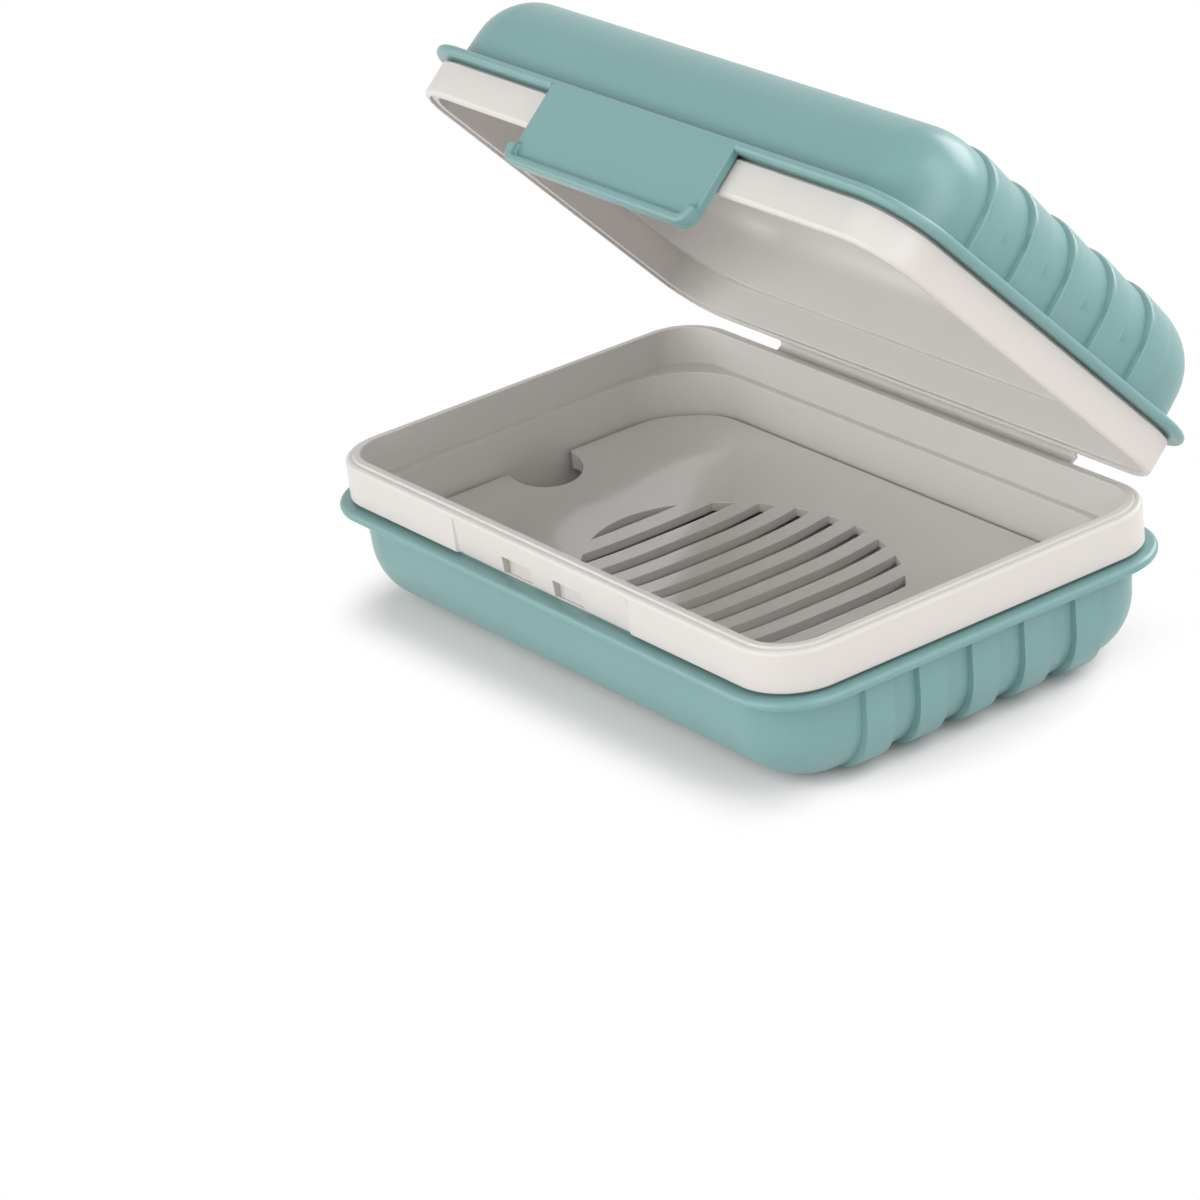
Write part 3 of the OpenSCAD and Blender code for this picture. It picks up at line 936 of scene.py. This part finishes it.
# %% [markdown]
# The thumb notch is a round bay in the tray's left end, whose mouth turns out to the edge in two
# round shoulders. A round wall is fused under the plate first, so that the skirt goes on round the
# bay, and the bay is then cut through plate and wall.

# %% Thumb notch
notch_in, notch_r, notch_wall, notch_shoulder_r, mouth_past = 2.2, 6.6, 1.2, 1.3, 3
notch_x = -tray_x + notch_in
notch_wall_top, end_skin, cutter_half = -0.4, 0.2, 20


def drum(name, x, y, r, low, high, sides=64):
    clear_selection()
    middle_z = (low + high) / 2
    bpy.ops.mesh.primitive_cylinder_add(
        vertices=sides, radius=r, depth=high - low, location=(x, y, middle_z)
    )
    bpy.ops.object.transform_apply(location=True, rotation=False, scale=False)
    bpy.context.object.name = name
    return bpy.context.object


def notch_outline(shoulder_r):
    """The notch in plan, from the rear end of its mouth round the bay to the front end."""
    mouth_x = -tray_x + shoulder_r
    mouth_y = ((notch_r + shoulder_r) ** 2 - (mouth_x - notch_x) ** 2) ** 0.5
    meet = degrees(atan2(mouth_y, mouth_x - notch_x))
    half = arc(mouth_x, mouth_y, shoulder_r, 180, 180 + meet, 8)
    half += arc(notch_x, 0, notch_r, meet, 0, 36)[1:]
    half = [(-tray_x - mouth_past, mouth_y)] + half
    return half + [(x, -y) for x, y in reversed(half[:-1])]


notch_back = drum("notch_wall", notch_x, 0, notch_r + notch_wall, -tray_rim_h, notch_wall_top)
outside_low = (-tray_x - 3 * past, -cutter_half, -past)
outside_high = (-tray_x + end_skin, cutter_half, past)
carve(notch_back, box_piece("outside", outside_low, outside_high))
carve(tray, notch_back, "UNION")
notch_points = [(x, y, -past) for x, y in notch_outline(notch_shoulder_r)]
carve(tray, slab("notch", notch_points, (0, 0, 2 * past)))

# %% [markdown]
# Each slot's ends lie on one oval, so its outline is two straight sides and two short arcs, and the
# first and last slots are lenses. Copies of one slot could not follow the oval, so every outline
# comes from the oval's formula, and is drawn out and cut.

# %% Slots
slot_count, slot_pitch, slot_w, slot_a, slot_b = 10, 6.9, 3.2, 32.2, 22.6
short_arc, short_arc_flats, long_arc_flats = 0.3, 4, 12


def slot_outline(x):
    """The slot round x, from its front right corner to the left and back again."""
    left, right = max(x - slot_w / 2, -slot_a), min(x + slot_w / 2, slot_a)
    first, last = acos(right / slot_a), acos(left / slot_a)
    count = short_arc_flats if last - first < short_arc else long_arc_flats
    turns = [first + (last - first) * i / count for i in range(count + 1)]
    front = [(slot_a * cos(t), slot_b * sin(t)) for t in turns]
    return front + [(px, -py) for px, py in reversed(front) if py > slack]


for k in range(slot_count):
    outline = slot_outline((k - (slot_count - 1) / 2) * slot_pitch)
    carve(tray, slab("slot", [(x, y, -past) for x, y in outline], (0, 0, 2 * past)))

# %% [markdown]
# The upper edges of the slots and of the notch are rounded, which gives the slots their thin bright
# lines. The two lenses at the ends have sharp tips, so they get a smaller round, and so does the notch.

# %% Rounded edges of the slots
slot_edge_r, lens_edge_r, outer_slot_x = 0.42, 0.25, slot_a - slot_w
sharp_from, rim_margin, oval_margin = 50, 0.6, 1


def upper_edge(e):
    """True for the edges where the slots and the notch break through the plate's face."""
    sharp = len(e.link_faces) == 2 and e.calc_face_angle() > radians(sharp_from)
    level = all(near(v.co.z, 0) and v.co.xy.length < tray_x - rim_margin for v in e.verts)
    return sharp and level and abs(middle(e).y) < slot_b + oval_margin


for of_lens, edge_round in ((False, slot_edge_r), (True, lens_edge_r)):
    slot_edges = bevel_edges(
        tray,
        lambda e: upper_edge(e) and (abs(middle(e).x) > outer_slot_x) == of_lens,
        offset=edge_round,
        segments=3,
        loop_slide=False,
        clamp_overlap=True,
    )
    print("slot edges rounded by", edge_round, "mm:", slot_edges)

# %% [markdown]
# The tray stands on four short round feet, which hold it above the water. Each is a cylinder whose
# lower edge is bevelled, fused to the underside.

# %% Feet
foot_d, foot_x, foot_y, foot_edge_r = 6, 40, 23, 0.6
tray_floor = 1000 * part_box("drain_tray")[0].z - tray_top
for side_x in (-1, 1):
    for side_y in (-1, 1):
        centre = (side_x * foot_x, side_y * foot_y)
        foot = drum("foot", *centre, foot_d / 2, tray_floor, -tray_t / 2, sides=40)
        bevel_edges(
            foot,
            lambda e: all(near(v.co.z, tray_floor) for v in e.verts),
            offset=foot_edge_r,
            segments=3,
        )
        carve(tray, foot, "UNION")

# %% [markdown]
# The plate is dished, so that water runs to the slots. A flat face has no vertices to bend, so the
# tray is first cut by planes in both directions, and one formula then lowers every vertex of the
# plate. The slots' bars curve with it, while the skirt and the feet's lower ends stay where they are.

# %% Dish
dish_depth, dish_margin, grid_y = 4.05, 1.2, 2.6


def dip(x, y):
    """How deep the tray's face lies under its edge, as a share of the deepest place."""
    share_x = min(1, abs(x) / (tray_x - dish_margin))
    share_y = min(1, abs(y) / (tray_y - dish_margin))
    return (1 - share_x**3) * (1 - share_y**3)


edit(tray)
for axis, half, step in (("X", tray_x, slot_pitch / 2), ("Y", tray_y, grid_y)):
    count = int(half / step)
    for k in range(-count, count + 1):
        cut(axis, k * step)
leave()
dish = tray.vertex_groups.new(name="dish")
for v in tray.data.vertices:
    if v.co.z > -tray_t - slack:
        dish.add([v.index], dip(v.co.x, v.co.y), "REPLACE")
lift(tray, "dish", "Z", -dish_depth)
tray.vertex_groups.clear()
tray_place = to_metres @ Matrix.Translation((0, 0, tray_top))
finish(tray, tray_place, grey, "drain_tray", smooth=30, even=True)
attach(tray, "tray")

# %% [markdown]
# The set is a pale floor that runs out to pure white, as on a product sheet. The camera and
# reflections see plain white behind the object, while the light on it comes from the lamps and a
# dim, even surround. A mask from the kind of ray tells the two apart.

# %% Background
surround_strength = 0.24


def mix_shaders(tree, factor, first, second, output):
    mixed = add_node(tree, "ShaderNodeMixShader", sockets={0: factor, 1: first, 2: second})
    connect(tree, mixed, tree.nodes[output].inputs["Surface"])


def seen_plainly(tree):
    """1 for a ray from the camera, in a reflection or through glass, and 0 for light on its way."""
    camera_ray, glossy, through = (
        add_node(tree, "ShaderNodeLightPath", out=f"Is {kind} Ray")
        for kind in ("Camera", "Glossy", "Transmission")
    )
    return (camera_ray + glossy + through).math("MINIMUM", 1)


world = bpy.data.worlds.new("studio")
bpy.context.scene.world = world
world.use_nodes = True
tree = world.node_tree
tree.nodes["Background"].inputs["Color"].default_value = (1, 1, 1, 1)
tree.nodes["Background"].inputs["Strength"].default_value = surround_strength
surround = Value(tree, tree.nodes["Background"].outputs[0])
backdrop = add_node(tree, "ShaderNodeBackground", sockets={"Color": (1, 1, 1, 1), "Strength": 1})
mix_shaders(tree, seen_plainly(tree), surround, backdrop, "World Output")

# %% [markdown]
# The floor keeps the object's soft shadow near it, and farther out it fades to the same white. The
# fade follows the distance from the rectangle between the axes of the base's corners, so it hugs the
# box and its round corners. The floor lies a tenth of a millimetre under the ribs, because two faces
# at one height would flicker.

# %% Floor
floor_size, floor_drop = 4, 0.0001
shadow_centre, shadow_reach = (0.004, 0, 0), (0.011, 0.024)
bpy.ops.mesh.primitive_plane_add(size=floor_size, location=(0, 0, -floor_drop))
floor = bpy.context.object
floor.name = "pale_floor"
paper = bpy.data.materials.new("white_paper")
paper.use_nodes = True
tree = paper.node_tree
shader = tree.nodes["Principled BSDF"]
shader.inputs["Base Color"].default_value = linear(0.985, 0.955, 0.955)
shader.inputs["Roughness"].default_value = 0.9
shader.inputs["Specular IOR Level"].default_value = 0.1


def vector_math(operation, first, second=(0, 0, 0), out="Vector"):
    return add_node(tree, "ShaderNodeVectorMath", {"operation": operation}, {0: first, 1: second}, out)


place = add_node(tree, "ShaderNodeTexCoord", out="Object")
beside = vector_math("ABSOLUTE", vector_math("SUBTRACT", place, shadow_centre))
beyond = vector_math("SUBTRACT", beside, (0.001 * shell_x, 0.001 * shell_y, 0))
distance = vector_math("LENGTH", vector_math("MAXIMUM", beyond), out="Value")
far = add_node(
    tree,
    "ShaderNodeMapRange",
    {"interpolation_type": "SMOOTHSTEP"},
    {"Value": distance, "From Min": shadow_reach[0], "From Max": shadow_reach[1]},
)
white = add_node(tree, "ShaderNodeEmission", sockets={"Strength": 1})
lit = Value(tree, shader.outputs[0])
mix_shaders(tree, seen_plainly(tree) * far, lit, white, "Material Output")
floor.data.materials.append(paper)
floor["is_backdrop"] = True
print("the shadow fades between", shadow_reach, "m from the corners' axes")

# %% [markdown]
# Eight large soft lamps light the box, each aimed at its middle. A studio would use two or three and
# some white cards, but in Blender a card is simply one more weak lamp. The low one in front and the
# one on its left reach into the open halves. Those on the right graze the ribbed end, and the strong
# one behind draws the thin bright lines along rims and beads.

# %% Lamps
aim = (0, 0, 0.04)


def soft_lamp(name, place, width, height, watts):
    bpy.ops.object.light_add(type="AREA", location=place)
    lamp = bpy.context.object
    lamp.name = name
    lamp.data.shape = "RECTANGLE"
    lamp.data.size, lamp.data.size_y = width, height
    lamp.data.energy = watts
    lamp.rotation_euler = (Vector(aim) - Vector(place)).to_track_quat("-Z", "Y").to_euler()
    print(name, "lamp,", watts, "W")


soft_lamp("overhead", (0, 0.05, 0.95), 0.9, 0.9, 0.8)
soft_lamp("over_right", (0.55, 0.25, 0.7), 0.6, 0.6, 3.3)
soft_lamp("right", (0.95, 0.1, 0.35), 0.6, 0.5, 2.4)
soft_lamp("front_right", (0.85, -0.5, 0.5), 0.6, 0.6, 0.9)
soft_lamp("front_low", (0.1, -1.0, 0.25), 0.9, 0.4, 4.3)
soft_lamp("front_left", (-0.6, -0.85, 0.35), 0.7, 0.5, 4.0)
soft_lamp("front_high", (0, -0.8, 0.75), 0.7, 0.6, 1.9)
soft_lamp("behind", (0, 0.9, 0.5), 0.8, 0.5, 7.2)
bpy.context.scene.view_settings.view_transform = "Standard"

# %% Sizes and the last line
low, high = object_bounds()
print("visual box in mm:", [round(1000 * v, 2) for v in (*low, *high)])
